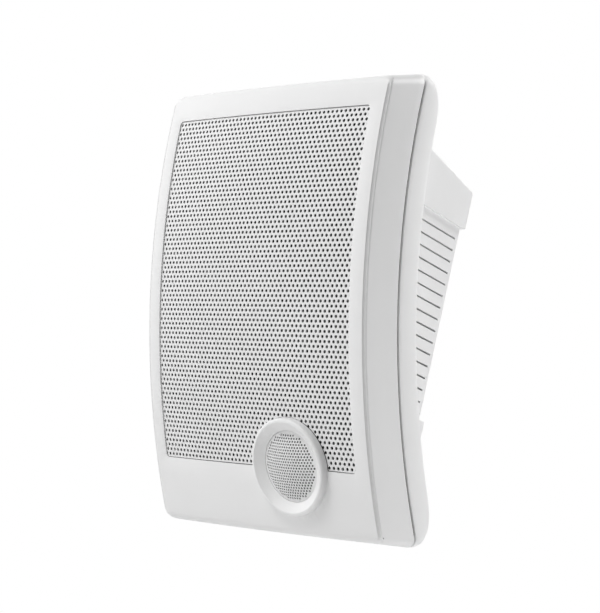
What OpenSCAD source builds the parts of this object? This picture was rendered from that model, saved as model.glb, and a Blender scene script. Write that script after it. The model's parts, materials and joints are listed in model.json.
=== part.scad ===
// Wall speaker: a bowed two-way cabinet on a louvred wedge.
// Y points to the wall, which is the plane Y = 0, and the front looks along -Y.
// The cabinet is drawn upright, with its own origin at the middle of its face,
// and then leaned so that the face looks down into the room.

/* [Cabinet] */
// Height of the cabinet
body_h = 262; // [250:1:280]
// Width over the side bands
body_w = 182; // [176:1:190]
// Distance from the cabinet's side to the groove that edges the face
groove_in = 3; // [2.5:0.1:4]
// Radius of the vertical bow of the face
bow_r = 480; // [450:10:560]
// Radius of the face across its width
crown_r = 940; // [800:20:1200]
// Depth of the side band, from face edge to seam
band_d = 26.5; // [24:0.5:32]
// Depth of the rear shell behind the seam
rim_d = 19.5; // [18:0.5:24]
// Radius of the face's rounded edge at top and bottom
face_end_r = 4; // [2:0.5:5]
// Radius of the rear shell's rounded edge at the sides
rim_r = 8; // [5:0.5:10]
// Radius of the rear shell's rounded edge at top and bottom
rim_end_r = 12; // [8:0.5:14]
// Corner radius of the cabinet, seen from the front
corner_r = 6; // [4:0.5:8]
// Skin thickness of the mouldings
wall = 3; // [2.5:0.25:3.5]
// Open width of the seam
seam = 0.9; // [0.6:0.1:1.5]

/* [Wall fixing] */
// Lean of the face, down into the room
tilt = 16; // [12:0.5:18]
// Distance from the wall to the middle of the face
wall_d = 98; // [98:1:110]
// Spacing of the wall screws across
screw_dx = 90; // [70:1:96]
// Spacing of the wall screws up
screw_dz = 100; // [80:1:110]
// Radius of the wall screw holes
screw_hole_r = 2.5; // [2:0.1:3]

/* [Grille] */
// Distance from the groove to the side of the grille
grille_side = 8.9; // [7:0.1:11]
// Distance from the cabinet's top to the grille
grille_over = 18.3; // [16:0.1:22]
// Distance from the cabinet's lower end to the grille
grille_under = 40.3; // [38:0.1:44]
// Thickness of the grille sheet
grille_t = 1; // [0.8:0.1:1.2]
// Step from the face down to the grille
grille_step = 0.8; // [0.5:0.1:1]
// Spacing of the holes in a row
hole_pitch = 9.72; // [9:0.01:16]
// Diameter of the holes
hole_d = 5.6; // [4:0.1:6]
// Clearance round sheet pieces
fit = 0.2; // [0.1:0.05:0.3]

/* [Tweeter] */
// Tweeter axis, right of the middle of the face
tw_x = 30.5; // [27:0.5:33]
// Tweeter axis, above the cabinet's lower end
tw_up = 41; // [39:0.5:43]
// Outer radius of the tweeter ring
ring_r = 28.4; // [27.5:0.1:29.5]
// Height of the ring's lip over the face
lip_h = 2.6; // [2:0.1:3.2]
// Radius of the perforated dome
dome_r = 20.6; // [20:0.1:21]
// Height of the perforated dome
dome_h = 4; // [3:0.1:5]
// Thickness of the perforated dome
dome_t = 0.7; // [0.6:0.1:1]
// Spacing of the dome's holes
dome_pitch = 3.8; // [3.6:0.05:6]
// Diameter of the dome's holes
dome_hole_d = 2.2; // [1.8:0.1:2.4]
// Radius of the tweeter's moving dome
tw_r = 12.5; // [12:0.1:13]

/* [Woofer] */
// Woofer axis, above the middle of the face
wf_z = 22; // [20:0.5:24]
// Outer radius of the woofer's flange
wf_r = 74; // [72:0.5:76]
// Thickness of the woofer's flange
wf_flange_t = 3; // [2.5:0.1:3.5]
// Width of the woofer's flange and surround round the cone
rim_w = 17; // [16:0.5:20]
// Radius of the voice coil
coil_r = 12.7; // [12:0.1:14]
// Radius of the woofer's magnet
magnet_r = 38; // [34:0.5:40]
// Height of the woofer's magnet
magnet_h = 14; // [12:0.5:16]
// Depth of the woofer from its seat to its top plate
basket_d = 32; // [30:0.5:34]

/* [Rear housing] */
// Width of the housing where it meets the cabinet
box_w = 140; // [134:1:146]
// How much narrower the housing is at the wall, on each side
box_taper = 5; // [3:0.5:8]
// Radius of the housing's rounded upper and lower side edges
box_edge_r = 3; // [2:0.5:3.5]
// Upper edge of the housing at the wall, above the wall screws' middle
box_top = 104; // [100:1:108]
// Lower edge of the housing at the wall, below the wall screws' middle
box_low = 92; // [88:1:94]
// Fall of the housing's top towards the wall
top_fall = 11; // [8:0.5:14]
// Skin thickness of the housing
box_wall = 2.6; // [2.2:0.1:3]
// Number of louvre slots in each side
louvre_n = 16; // [12:1:16]
// Spacing of the louvre slots
louvre_pitch = 7.15; // [6.8:0.05:7.2]
// Height of one louvre slot
louvre_gap = 1.1; // [0.9:0.1:1.6]
// Height of the first slot above the wall screws' middle
louvre_top = 72; // [70:0.5:73]
// Step from the housing's side down to the louvred zone
louvre_step = 2; // [1.5:0.1:2.2]
// Height of the deep gap above the louvres
gap_h = 3; // [2.4:0.1:3.4]

/* [Crossover] */
// Width of the crossover board
board_w = 74; // [64:1:78]
// Height of the crossover board
board_h = 52; // [46:1:56]
// Height of the board over the housing's back
board_off = 6; // [5:0.5:8]
// Radius of the cable hole
cable_r = 3.5; // [3:0.1:4]

/* [Hidden] */
$fn = 64;

// Cabinet, worked out
half_w = body_w / 2;
half_h = body_h / 2;
face_x = half_w - groove_in;
edge_d = crown(face_x);          // depth of the face's edge behind its middle
seam_d = edge_d + band_d;        // depth of the bezel's rear edge
shell_d = seam_d + seam;         // depth of the shell's front edge
back_d = seam_d + rim_d;         // depth of the shell's back
back_r = bow_r - back_d;         // bow radius of the shell's back
bow_deg = asin(half_h / back_r) + 2;
groove_w = 1.6;                  // width of the groove along each side
groove_d = 1.4;                  // depth of that groove
band_step = 0.5;                 // step from the face to the side band
band_r = half_w - face_x - groove_w / 2;  // radius of the band's front edge
far = 200;                       // reach of a cut that only has to clear
blend = 0.05;                    // how far a fillet's circle stands out of its faces
slack = 0.3;                     // gap left between a moving and a fixed piece

// Grille, worked out
grille_w = 2 * (face_x - grille_side);
grille_top = half_h - grille_over;
grille_low = half_h - grille_under;
ledge = 1;                       // width of the ledge that carries the grille
grille_h = grille_top + grille_low;
grille_z = (grille_top - grille_low) / 2;
grille_r = 2;                    // corner radius of the grille
sheet_bands = 6;                 // conical bands that make up the crowned sheet
row_pitch = hole_pitch * sin(60);
hole_margin = hole_d / 2 + 0.8;  // least distance from hole centre to edge

// Tweeter, worked out; depths run back along the ring's own axis
tw_z = tw_up - half_h;
tw_lean = asin(-tw_z / bow_r);
ring_base = wall + 4;            // depth of the ring's rear face
disc_d = 1.2;                    // depth of the perforated dome's edge
throat_r = dome_r - 1.2;         // radius of the hole behind the dome
notch_deg = 227;                 // where the lip sinks into the face
notch_half = 15;                 // half the angle that it takes up
tw_plate_t = 2.5;                // thickness of the faceplate
tw_plate_r = ring_r - 4;         // radius of the faceplate
tw_back = ring_base + tw_plate_t;
tw_top_t = 3;                    // thickness of the tweeter's top plate
tw_mag_h = 7;                    // height of the tweeter's magnet
tw_steel_r = tw_r + 6;           // radius of the tweeter's steel plates
tw_mag_r = tw_steel_r + 1;       // radius of the tweeter's magnet
tw_mag_bore_r = tw_r + 2.5;      // radius of the hole in that magnet
tw_bore_r = tw_r + 1.9;          // radius of the hole in the faceplate
dome_flange = 1.6;               // width of the perforated dome's flat edge
tw_gap = 0.5;                    // gap on each side of the coils
tw_coil_t = 0.3;                 // thickness of the coils and their formers

// Woofer, worked out; depths run back along the cabinet's depth
wf_front = 14.5;                 // depth of the woofer flange's front
seat_d = wf_front + wf_flange_t;
seat_w = 4;                      // width of the baffle's collar round the flange
collar_h = 8;                    // depth of that collar
cone_r = wf_r - rim_w;           // radius of the cone at its edge
flange_w = 9;                    // width of the flange's seat
wf_bore_r = wf_r - flange_w;     // hole in the baffle for the basket
wf_screw_r = wf_r - flange_w / 2;  // radius at which the woofer's screws sit
baffle_off = 12;                 // depth of the baffle behind the face
baffle_t = 3;                    // thickness of the baffle
baffle_x = half_w - wall - 0.4;  // half width of the baffle
baffle_z = half_h - wall - 0.4;  // half height of the baffle
basket_t = 2;                    // thickness of the basket
basket_window = 30;              // width of the openings in the basket
basket_low_r = magnet_r + 1;     // radius of the basket's lower ring
plate_d = seat_d + basket_d;     // depth of the woofer's top plate
plate_t = 4;                     // thickness of the woofer's steel plates
cone_t = 0.7;                    // thickness of the cone
cone_d = seat_d - 1.5;           // depth of the cone's front edge
neck_d = plate_d - 11;           // depth of the cone's neck
cap_r = 19;                      // radius of the dust cap
roll_r = 2.6;                    // radius of the surround's roll
roll_c = cone_r + slack + 0.8 + roll_r;  // radius at the middle of that roll
travel = 2.5;                    // how far the cone moves each way

// Screws
head_bore_r = 3.5;               // radius of the case screws' head bores
head_h = 2;                      // height of their heads
clear_r = 1.9;                   // radius of a screw's clearance hole
post_gap = 0.5;                  // gap round the screw posts

// Rear housing, worked out
box_back_w = box_w - 2 * box_taper;
box_deep = 45;                   // depth over which the sides taper
flare = box_taper / box_deep;    // growth of the half width per depth
box_seat = 0.15;                 // gap between housing and shell
zone_top = louvre_top + 4.6;     // lower side of the deep gap
zone_low = louvre_top - (louvre_n - 1) * louvre_pitch - 3.4;
slot_back = 5;                   // end of the slots, in front of the wall
zone_r = 4;                      // radius of the louvred zone's rear corners
lug_r = 5;                       // radius of the housing's screw lugs
post_r = 4;                      // radius of the screw posts
pilot_r = 1.3;                   // radius of a screw's pilot hole
shank_r = 1.25;                  // radius of a screw's shank
post_x = half_w - wall - post_r - post_gap;
post_z = half_h - 22;
tower_d = crown(post_x + post_r) + baffle_off + baffle_t + 0.1;  // front of the shell's towers
case_seat_d = bow_at(back_d, post_z) - 3.4;  // seat of the case screws' heads
shell_hole_z = 76;               // half height of the shell's opening into the housing
shell_hole_x = box_w / 2 - 12;   // half width of that opening
housing_x = shell_hole_x + lug_r + 0.6;  // places of the screws into the housing
housing_z = [-60, 70];
back_in = -box_wall - 1;         // inner face of the housing's back

// Crossover, worked out; its pieces stand on the front of the board
board_t = 1.6;                   // thickness of the board
board_hole_in = 4;               // distance of its holes from its edges
board_front = back_in - board_off - board_t;
coil_outer_r = 13;               // outer radius of the air-core coil
coil_inner_r = 6;                // inner radius of that coil
coil_h = 12;                     // height of that coil
cap_body_r = 6.5;                // radius of the capacitor
cap_len = 26;                    // length of the capacitor
resistor_w = 8;                  // side of the resistor's square section
resistor_len = 22;               // length of the resistor
block_w = 16;                    // width of the terminal block
block_h = 10;                    // height and depth of the terminal block
block_bore_r = 1.5;              // radius of its wire holes
cable_z = -box_low + 14;         // height of the cable hole

// Depth of the crowned face at x behind its middle line
function crown(x) = x * x / (2 * crown_r);
// Depth of the bowed face at x, z behind the middle of the face
function face_at(x, z) =
    bow_r - sqrt(pow(bow_r - crown(x), 2) - z * z);
// Depth of a bowed surface d behind the face's front line, at height z
function bow_at(d, z) = bow_r - sqrt(pow(bow_r - d, 2) - z * z);
// Point of a cross-section at x and depth d
function at(x, d) = [bow_r - d, x];
// Stations across the face from -w to w
function across(w, n = 14) = [for (i = [0:n]) -w + 2 * w * i / n];

// Lean and place a cabinet piece on the wall
module on_wall() translate([0, -wall_d, 0]) rotate([tilt, 0, 0]) children();

// Sweep a cross-section along the bow
module bowed() translate([0, bow_r, 0]) rotate([0, 90, 0])
    rotate_extrude(angle = 2 * bow_deg, start = -90 - bow_deg, $fn = 180)
        children();

// Upright block, rounded at its corners seen from the front
module front_block(w, h, r, y0, y1) {
    translate([0, y1, 0]) rotate([90, 0, 0]) linear_extrude(y1 - y0)
        union() {
            square([w - 2 * r, h], center = true);
            square([w, h - 2 * r], center = true);
            for (x = [-1, 1], z = [-1, 1])
                translate([x * (w / 2 - r), z * (h / 2 - r)]) circle(r);
        }
}

// Disc or bore along the cabinet's depth
module disc(r, y0, y1) translate([0, y1, 0]) rotate([90, 45, 0])
    cylinder(r = r, h = y1 - y0);

// Revolve a profile of [radius, depth] round the cabinet's depth
module turned() rotate([-90, 0, 0]) rotate_extrude() children();

// Cross-section between the crowned face, d0 behind it, and a flat depth d1
module slice(w, d0, d1, n = 14) polygon(concat(
    [for (x = across(w, n)) at(x, crown(x) + d0)],
    [at(w, d1), at(-w, d1)]));

// Cross-section of a crowned sheet, from d0 to d1 behind the face
module layer(w, d0, d1, n = 14) polygon(concat(
    [for (x = across(w, n)) at(x, crown(x) + d0)],
    [for (x = across(w, n)) at(-x, crown(x) + d1)]));

// Half of the bezel's outline, from the groove to the seam
function band_points(s) = [
    at(s * (face_x - groove_w / 2), crown(face_x - groove_w / 2)),
    at(s * face_x, edge_d + groove_d),
    for (a = [0:15:90]) at(s * (half_w - band_r + band_r * sin(a)),
                           edge_d + band_step + band_r * (1 - cos(a))),
    at(s * half_w, seam_d)
];

// Cutter that rounds one end of the crowned face; its circle stands blend out of both
// faces and is swept about an upright axis, along the crowned edge
module face_cutter() {
    r = face_end_r;
    z = half_h - r + blend;
    sweep_r = crown_r * cos(asin(half_h / bow_r));
    y = bow_r - sqrt(pow(bow_r - r + blend, 2) - z * z);
    translate([0, y + sweep_r, 0])
        rotate_extrude(angle = 20, start = -100, $fn = 360) translate([sweep_r, z]) difference() {
            polygon([[0, 0], [20, 20 * tan(asin(z / (bow_r - r)))], [20, 20], [0, 20]]);
            circle(r, $fn = 64);
        }
}

module bezel_section() {
    left = band_points(-1);
    polygon(concat(
        [for (i = [len(left) - 1:-1:0]) left[i]],
        [for (x = across(face_x - groove_w / 2, 12)) at(x, crown(x))],
        band_points(1)));
}

// Place a piece on the tweeter's axis
module on_tweeter() translate([tw_x, face_at(tw_x, tw_z), tw_z])
    rotate([tw_lean, 0, 0]) children();

// Sector that the lip sinks in
module notch_sector() rotate([0, -notch_deg, 0]) translate([0, 10, 0])
    rotate([90, 0, 0]) linear_extrude(20)
        polygon([[0, 0], [40, -40 * tan(notch_half)], [40, 40 * tan(notch_half)]]);

// Space in front of the ramp that the lip sinks to
module notch_space() rotate([0, -notch_deg, 0])
    linear_extrude(60, center = true)
        polygon([[dome_r, disc_d], [ring_r + 6, -0.4], [ring_r + 6, -12],
                 [dome_r - 6, -12], [dome_r - 6, disc_d]]);

module tweeter_ring() on_tweeter() difference() {
    turned() polygon(concat(
        [[throat_r, ring_base], [ring_r, ring_base]],
        [for (a = [0:18:90]) [ring_r - 1.8 * (1 - cos(a)), -lip_h + 1.4 - 1.4 * sin(a)]],
        [for (a = [90:18:180]) [ring_r - 2.6 + 1.2 * cos(a), -lip_h + 1 - sin(a)]],
        [[dome_r + fit, disc_d - 0.3], [dome_r + fit, disc_d + dome_t],
         [throat_r, disc_d + dome_t]]));
    intersection() {
        notch_sector();
        notch_space();
    }
    tweeter_screw_places() disc(pilot_r, ring_base - 3.4, ring_base + 1);
}

// Area of the grille, as an upright block
module grille_area(inset, y0, y1) translate([0, 0, grille_z])
    front_block(grille_w - 2 * inset, grille_h - 2 * inset, grille_r, y0, y1);

module screw_posts(r, y0, y1) for (x = [-1, 1], z = [-1, 1])
    translate([x * post_x, 0, z * post_z]) disc(r, y0, y1);

module front_bezel() color("gainsboro") on_wall() {
    difference() {
        union() {
            difference() {
                intersection() {
                    bowed() bezel_section();
                    front_block(body_w, body_h, corner_r, -10, far);
                }
                for (m = [0, 1]) mirror([0, 0, m]) face_cutter();
                intersection() {
                    bowed() slice(half_w - wall, wall, far);
                    front_block(body_w - 2 * wall, body_h - 2 * wall,
                                corner_r - wall + 1, -10, far);
                }
                difference() {
                    intersection() {
                        bowed() layer(half_w, -5, grille_step + grille_t, sheet_bands);
                        grille_area(-fit, -20, far);
                    }
                    on_tweeter() disc(ring_r - 0.5, -30, 30);
                }
                difference() {
                    grille_area(ledge, -20, far);
                    on_tweeter() disc(ring_r - 0.5, -60, 60);
                }
                on_tweeter() disc(ring_r - 0.5, -60, 60);
            }
            tweeter_ring();
            intersection() {
                screw_posts(post_r, 0, far);
                bowed() layer(half_w - 1, wall - 0.5, baffle_off);
            }
        }
        screw_posts(pilot_r, face_at(post_x, post_z) + wall + 1, far);
    }
}

// Staggered rows of holes over the grille
module grille_holes() {
    rows = floor((grille_h / 2 - hole_margin) / row_pitch);
    for (j = [-rows:rows]) {
        shift = (j % 2 == 0) ? 0 : hole_pitch / 2;
        z = grille_z + j * row_pitch;
        cols = floor((grille_w / 2 - hole_margin - shift) / hole_pitch);
        for (i = [-cols - (shift > 0 ? 1 : 0):cols]) {
            x = i * hole_pitch + shift;
            if (norm([x - tw_x, z - tw_z]) > ring_r + hole_margin)
                translate([x, 0, z]) disc(hole_d / 2, -2, 26, $fn = 24);
        }
    }
}

module woofer_grille() color("silver") on_wall() difference() {
    intersection() {
        bowed() layer(half_w, grille_step, grille_step + grille_t, sheet_bands);
        grille_area(0, -20, 60);
    }
    on_tweeter() disc(ring_r + fit, -60, 60);
    grille_holes();
}

// Spherical sheet over a disc of radius r, bulging h to the front
module dome_sheet(r, h, t) {
    ball = (r * r + h * h) / (2 * h);
    difference() {
        intersection() {
            translate([0, ball - h, 0]) sphere(ball, $fn = 200);
            disc(r, -h - 1, 0);
        }
        translate([0, ball - h, 0]) sphere(ball - t, $fn = 200);
    }
}

module tweeter_grille() color("silver") on_wall() on_tweeter()
    translate([0, disc_d + dome_t, 0]) difference() {
        union() {
            translate([0, -dome_t, 0]) dome_sheet(dome_r - dome_flange / 2, dome_h, dome_t);
            difference() {
                disc(dome_r, -dome_t, 0);
                disc(dome_r - dome_flange, -dome_t - 1, 1);
            }
        }
        rings = floor((dome_r - dome_flange - 1) / (dome_pitch * sin(60)));
        for (j = [-rings:rings]) {
            shift = (j % 2 == 0) ? 0 : dome_pitch / 2;
            z = j * dome_pitch * sin(60);
            for (i = [-6:6]) {
                x = i * dome_pitch + shift;
                if (norm([x, z]) < dome_r - dome_flange - 0.2 - dome_hole_d / 2)
                    translate([x, 0, z]) disc(dome_hole_d / 2, -12, 4, $fn = 32);
            }
        }
    }

module case_seal() color("dimgray") on_wall() difference() {
    intersection() {
        bowed() polygon([at(-half_w, seam_d), at(half_w, seam_d),
                         at(half_w, shell_d), at(-half_w, shell_d)]);
        front_block(body_w - 2.4, body_h - 2.4, corner_r - 1, 0, far);
    }
    front_block(body_w - 2 * wall, body_h - 2 * wall, corner_r - wall + 1, -1, far + 1);
}

// Cutter that rounds the shell's rear edge at one end, or its hollow's; the circle
// stands blend out of both faces, so that it meets them at a slight angle
module end_cutter(inset = 0) {
    z = half_h - rim_end_r + blend;
    r = back_r + rim_end_r - blend;
    lean = asin(z / r);
    rotate([90, 0, 90]) linear_extrude(2 * far, center = true)
        translate([bow_r - r * cos(lean), z]) difference() {
            polygon([[0, 0], [40 * cos(lean), -40 * sin(lean)], [40, 40], [0, 40]]);
            circle(rim_end_r - inset, $fn = 96);
        }
}

module end_cutters(inset = 0) for (m = [0, 1]) mirror([0, 0, m]) end_cutter(inset);

module shell_solid(inset) {
    r = max(rim_r - inset, 1);
    w = half_w - inset;
    intersection() {
        bowed() polygon(concat(
            [at(-w, inset > 0 ? 0 : shell_d), at(w, inset > 0 ? 0 : shell_d)],
            [for (a = [0:15:90]) at(w - r + r * cos(a), back_d - inset - r + r * sin(a))],
            [for (a = [90:15:180]) at(-w + r + r * cos(a), back_d - inset - r + r * sin(a))]));
        front_block(2 * w, body_h - 2 * inset, max(corner_r - inset, 2), 0, far);
    }
}

module rear_shell() color("whitesmoke") on_wall() difference() {
    union() {
        difference() {
            shell_solid(0);
            difference() {
                shell_solid(wall);
                end_cutters(wall);
            }
        }
        intersection() {
            screw_posts(post_r, 0, far);
            bowed() polygon([at(-half_w, tower_d), at(half_w, tower_d),
                             at(half_w, back_d - 1), at(-half_w, back_d - 1)]);
        }
    }
    end_cutters();
    screw_posts(clear_r, 0, far);
    screw_posts(head_bore_r, case_seat_d, far);
    front_block(2 * shell_hole_x, 2 * shell_hole_z, 6, shell_d, far);
    housing_screw_holes(1.7);
}

// Places of the screws between shell and housing
module housing_screw_holes(r) for (x = [-1, 1], z = housing_z)
    translate([x * housing_x, 0, z]) disc(r, shell_d, far);

// Outline of the housing from the side: depth, height
module wedge_outline(inset) polygon([
    [-inset, -box_low + inset], [-inset, box_top - inset],
    [-far, box_top - inset + (far - inset) * tan(top_fall)], [-far, -box_low + inset]
]);

// Plan of the housing: width, depth
module wedge_plan(inset, back) {
    b = box_back_w / 2 - inset;
    polygon([[-b, -back], [b, -back], [b + flare * far, -far - back],
             [-b - flare * far, -far - back]]);
}

module wedge(inset, back) intersection() {
    rotate([90, 0, 90]) linear_extrude(far, center = true) wedge_outline(back);
    translate([0, 0, -far]) linear_extrude(2 * far) wedge_plan(inset, back);
}

// Everything of the cabinet in front of its back, grown by d
module cabinet_fill(d) on_wall() bowed()
    polygon([at(-far, -300), at(far, -300), at(far, back_d + d), at(-far, back_d + d)]);

// Cutter that rounds one side edge of the housing, from the wall to the cabinet
module edge_cutter(z, fall) {
    r = box_edge_r;
    out = r - blend;
    lean = atan(tan(fall) * cos(atan(flare)));
    translate([box_back_w / 2 - out / cos(atan(flare)), 0, z - out / cos(fall)])
        rotate([-lean, 0, atan(flare)]) difference() {
            translate([0, -far, 0]) cube([2 * r, 2 * far, 2 * r]);
            disc(r, -far - 1, far + 1);
        }
}

module edge_cutters() for (m = [0, 1]) mirror([m, 0, 0]) {
    edge_cutter(box_top, top_fall);
    mirror([0, 0, 1]) edge_cutter(box_low, 0);
}

module rear_housing() color("whitesmoke") difference() {
    union() {
        difference() {
            wedge(0, 0);
            edge_cutters();
            wedge(box_wall + louvre_step, box_wall + 1);
            zone_skin();
        }
        housing_lugs();
        board_places() disc(3.2, back_in - board_off, back_in + 0.5);
    }
    cabinet_fill(box_seat);
    louvres();
    for (x = [-1, 1], z = [-1, 1]) translate([x * screw_dx / 2, 0, z * screw_dz / 2])
        disc(screw_hole_r, -20, 5);
    on_wall() housing_screw_holes(pilot_r);
    board_places() disc(pilot_r, -20, back_in + 2);
    translate([0, 0, cable_z]) disc(cable_r + 2, -20, 5);
}

// Skin taken off the louvred zone: its sides lie back and its rear corners are round
module zone_skin() {
    b = box_back_w / 2 - louvre_step;
    translate([0, 0, zone_low]) linear_extrude(zone_top + gap_h - zone_low) difference() {
        translate([-far, -far]) square(2 * far);
        polygon([[b - zone_r, 0], [b, -zone_r], [b + flare * far, -far],
                 [-b - flare * far, -far], [-b, -zone_r], [zone_r - b, 0]]);
        for (x = [-1, 1]) translate([x * (b - zone_r), -zone_r]) circle(zone_r);
    }
}

module louvres() {
    for (i = [0:louvre_n - 1])
        translate([-far, -far, louvre_top - i * louvre_pitch - louvre_gap / 2])
            cube([2 * far, far - slot_back, louvre_gap]);
}

module housing_lugs() intersection() {
    wedge(louvre_step + 0.5, 1);
    on_wall() for (x = [-1, 1], z = housing_z)
        translate([x * housing_x, 0, z]) disc(lug_r, 0, bow_at(back_d, z) + 12);
}

module front_baffle() color("dimgray") on_wall() difference() {
    intersection() {
        union() {
            bowed() layer(half_w - 1, baffle_off, baffle_off + baffle_t);
            translate([0, 0, wf_z]) difference() {
                disc(wf_r + seat_w, seat_d, seat_d + collar_h);
                disc(wf_r, seat_d + baffle_t + 0.5, seat_d + collar_h + 1);
            }
        }
        front_block(2 * baffle_x, 2 * baffle_z, 3, 0, far);
    }
    translate([0, 0, wf_z]) disc(wf_r + 0.5, -10, seat_d);
    translate([0, 0, wf_z]) disc(wf_bore_r, -10, far);
    on_tweeter() disc(ring_r + 0.5, -60, 60);
    screw_posts(clear_r, 0, far);
    woofer_screw_places() disc(pilot_r, 0, far);
}

module woofer_screw_places() for (a = [45:90:315])
    translate([wf_screw_r * cos(a), 0, wf_z + wf_screw_r * sin(a)]) children();

module woofer_basket() color("darkslategray") on_wall() difference() {
    translate([0, 0, wf_z]) difference() {
        turned() polygon([
            [wf_bore_r - 4, wf_front], [wf_r, wf_front], [wf_r, seat_d],
            [wf_bore_r - 1, seat_d], [basket_low_r, plate_d - 8],
            [basket_low_r, plate_d], [coil_r + 5, plate_d],
            [coil_r + 5, plate_d - basket_t],
            [basket_low_r - basket_t, plate_d - basket_t],
            [basket_low_r - basket_t, plate_d - 8 - basket_t / 2],
            [wf_bore_r - 4, seat_d]]);
        for (a = [0:90:270]) rotate([0, a, 0])
            translate([basket_low_r - 10, seat_d + 3, -basket_window / 2])
                cube([far, basket_d - 13, basket_window]);
    }
    woofer_screw_places() disc(clear_r, 0, far);
}

// Depth of the cone's front at radius r
function cone_front(r) =
    cone_d + (neck_d - cone_d) * (cone_r - 2.7 - r) / (cone_r - 2.7 - coil_r);

module woofer_cone() color("black") on_wall() translate([0, 0, wf_z])
    turned() polygon([[cone_r, cone_d], [cone_r, cone_d + cone_t],
        [cone_r - 3, cone_d + cone_t], [coil_r, neck_d + cone_t],
        [coil_r, neck_d], [cone_r - 2.7, cone_d]]);

module woofer_dust_cap() color("black") on_wall() translate([0, 0, wf_z])
    translate([0, cone_front(cap_r) - 0.05, 0]) dome_sheet(cap_r, 6, 0.8);

module woofer_voice_coil() color("peru") on_wall() translate([0, 0, wf_z]) difference() {
    disc(coil_r, neck_d, plate_d + plate_t + 6);
    disc(coil_r - tw_coil_t, neck_d - 1, plate_d + plate_t + 7);
}

module woofer_surround() color("black") on_wall() translate([0, 0, wf_z])
    turned() polygon(concat(
        [[cone_r + slack, cone_d], [cone_r + slack, cone_d + 0.6]],
        [for (a = [180:-15:0]) [roll_c + (roll_r - 0.6) * cos(a),
                                wf_front - 0.6 - (roll_r - 0.6) * sin(a)]],
        [[wf_bore_r + 1, wf_front], [wf_bore_r + 1, wf_front - 0.6]],
        [for (a = [0:15:180]) [roll_c + roll_r * cos(a), wf_front - 0.6 - roll_r * sin(a)]]));

module woofer_spider() color("khaki") on_wall() translate([0, 0, wf_z])
    difference() {
        disc(basket_low_r - basket_t - slack, plate_d - basket_t - 5, plate_d - basket_t - 4);
        disc(coil_r + slack, 0, far);
    }

module woofer_top_plate() color("silver") on_wall() translate([0, 0, wf_z])
    difference() {
        disc(magnet_r - 3, plate_d, plate_d + plate_t);
        disc(coil_r + tw_gap, plate_d - 1, plate_d + plate_t + 1);
    }

module woofer_magnet() color("dimgray") on_wall() translate([0, 0, wf_z])
    difference() {
        disc(magnet_r, plate_d + plate_t, plate_d + plate_t + magnet_h);
        disc(coil_r + 4, plate_d, far);
    }

module woofer_back_plate() color("silver") on_wall() translate([0, 0, wf_z]) {
    disc(magnet_r - 3, plate_d + plate_t + magnet_h, plate_d + 2 * plate_t + magnet_h);
    disc(coil_r - tw_coil_t - tw_gap, plate_d, plate_d + plate_t + magnet_h + 1);
}

// Screw along the depth: head at y0, shank to y1
module screw(head_r, head_h, shank_r, y0, y1) {
    disc(head_r, y0, y0 + head_h);
    disc(shank_r, y0 + head_h - 0.1, y1);
}

// Screw with its head at the rear
module rear_screw(head_r, head_h, shank_r, y0, y1) {
    disc(head_r, y1 - head_h, y1);
    disc(shank_r, y0, y1 - head_h + 0.1);
}

module woofer_screws() color("black") on_wall() woofer_screw_places()
    screw(3, 1.6, shank_r, wf_front - 1.6, seat_d + 3.4);

module tweeter_faceplate() color("dimgray") on_wall() on_tweeter() difference() {
    disc(tw_plate_r, ring_base, tw_back);
    disc(tw_bore_r, ring_base - 1, tw_back + 1);
    tweeter_screw_places() disc(1.6, 0, far);
}

module tweeter_screw_places() for (a = [90:120:330])
    translate([(tw_plate_r - 2.6) * cos(a), 0, (tw_plate_r - 2.6) * sin(a)]) children();

module tweeter_dome() color("gold") on_wall() on_tweeter() {
    translate([0, tw_back - 2, 0]) dome_sheet(tw_r, 4, 0.4);
    difference() {
        disc(tw_r, tw_back - 2.2, tw_back + tw_top_t + 1);
        disc(tw_r - tw_coil_t, tw_back - 3, tw_back + tw_top_t + 2);
    }
}

module tweeter_surround() color("black") on_wall() on_tweeter() difference() {
    disc(tw_bore_r, tw_back - 1.2, tw_back - 0.6);
    disc(tw_r + slack, tw_back - 2, tw_back);
}

module tweeter_top_plate() color("silver") on_wall() on_tweeter() difference() {
    disc(tw_steel_r, tw_back, tw_back + tw_top_t);
    disc(tw_r + tw_gap, tw_back - 1, tw_back + tw_top_t + 1);
}

module tweeter_magnet() color("dimgray") on_wall() on_tweeter() difference() {
    disc(tw_mag_r, tw_back + tw_top_t, tw_back + tw_top_t + tw_mag_h);
    disc(tw_mag_bore_r, tw_back, far);
}

module tweeter_back_plate() color("silver") on_wall() on_tweeter() {
    disc(tw_steel_r, tw_back + tw_top_t + tw_mag_h, tw_back + 2 * tw_top_t + tw_mag_h);
    disc(tw_r - tw_coil_t - tw_gap, tw_back, tw_back + tw_top_t + tw_mag_h + 1);
}

module tweeter_screws() color("black") on_wall() on_tweeter() tweeter_screw_places()
    rear_screw(2.4, 1.4, shank_r, ring_base - 3.2, tw_back + 1.4);

module case_screws() color("black") on_wall() for (x = [-1, 1], z = [-1, 1])
    translate([x * post_x, 0, z * post_z])
        rear_screw(head_bore_r - 0.3, head_h, shank_r,
                   face_at(post_x, post_z) + wall + 4, case_seat_d + head_h);

module housing_screws() color("black") on_wall() for (x = [-1, 1], z = housing_z)
    translate([x * housing_x, 0, z])
        screw(3, 1.8, shank_r, bow_at(back_d, z) - wall - 2.6, bow_at(back_d, z) + 8);

// Places of the crossover board's posts, on the housing's back
module board_places() for (x = [-1, 1], z = [-1, 1])
    translate([x * (board_w / 2 - board_hole_in), 0, z * (board_h / 2 - board_hole_in)])
        children();

module crossover_board() color("darkgreen") difference() {
    translate([-board_w / 2, board_front, -board_h / 2]) cube([board_w, board_t, board_h]);
    board_places() disc(clear_r - 0.3, -far, 0);
}

module crossover_coil() color("peru") translate([-18, 0, 4]) difference() {
    disc(coil_outer_r, board_front - coil_h, board_front);
    disc(coil_inner_r, -far, 0);
}

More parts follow.
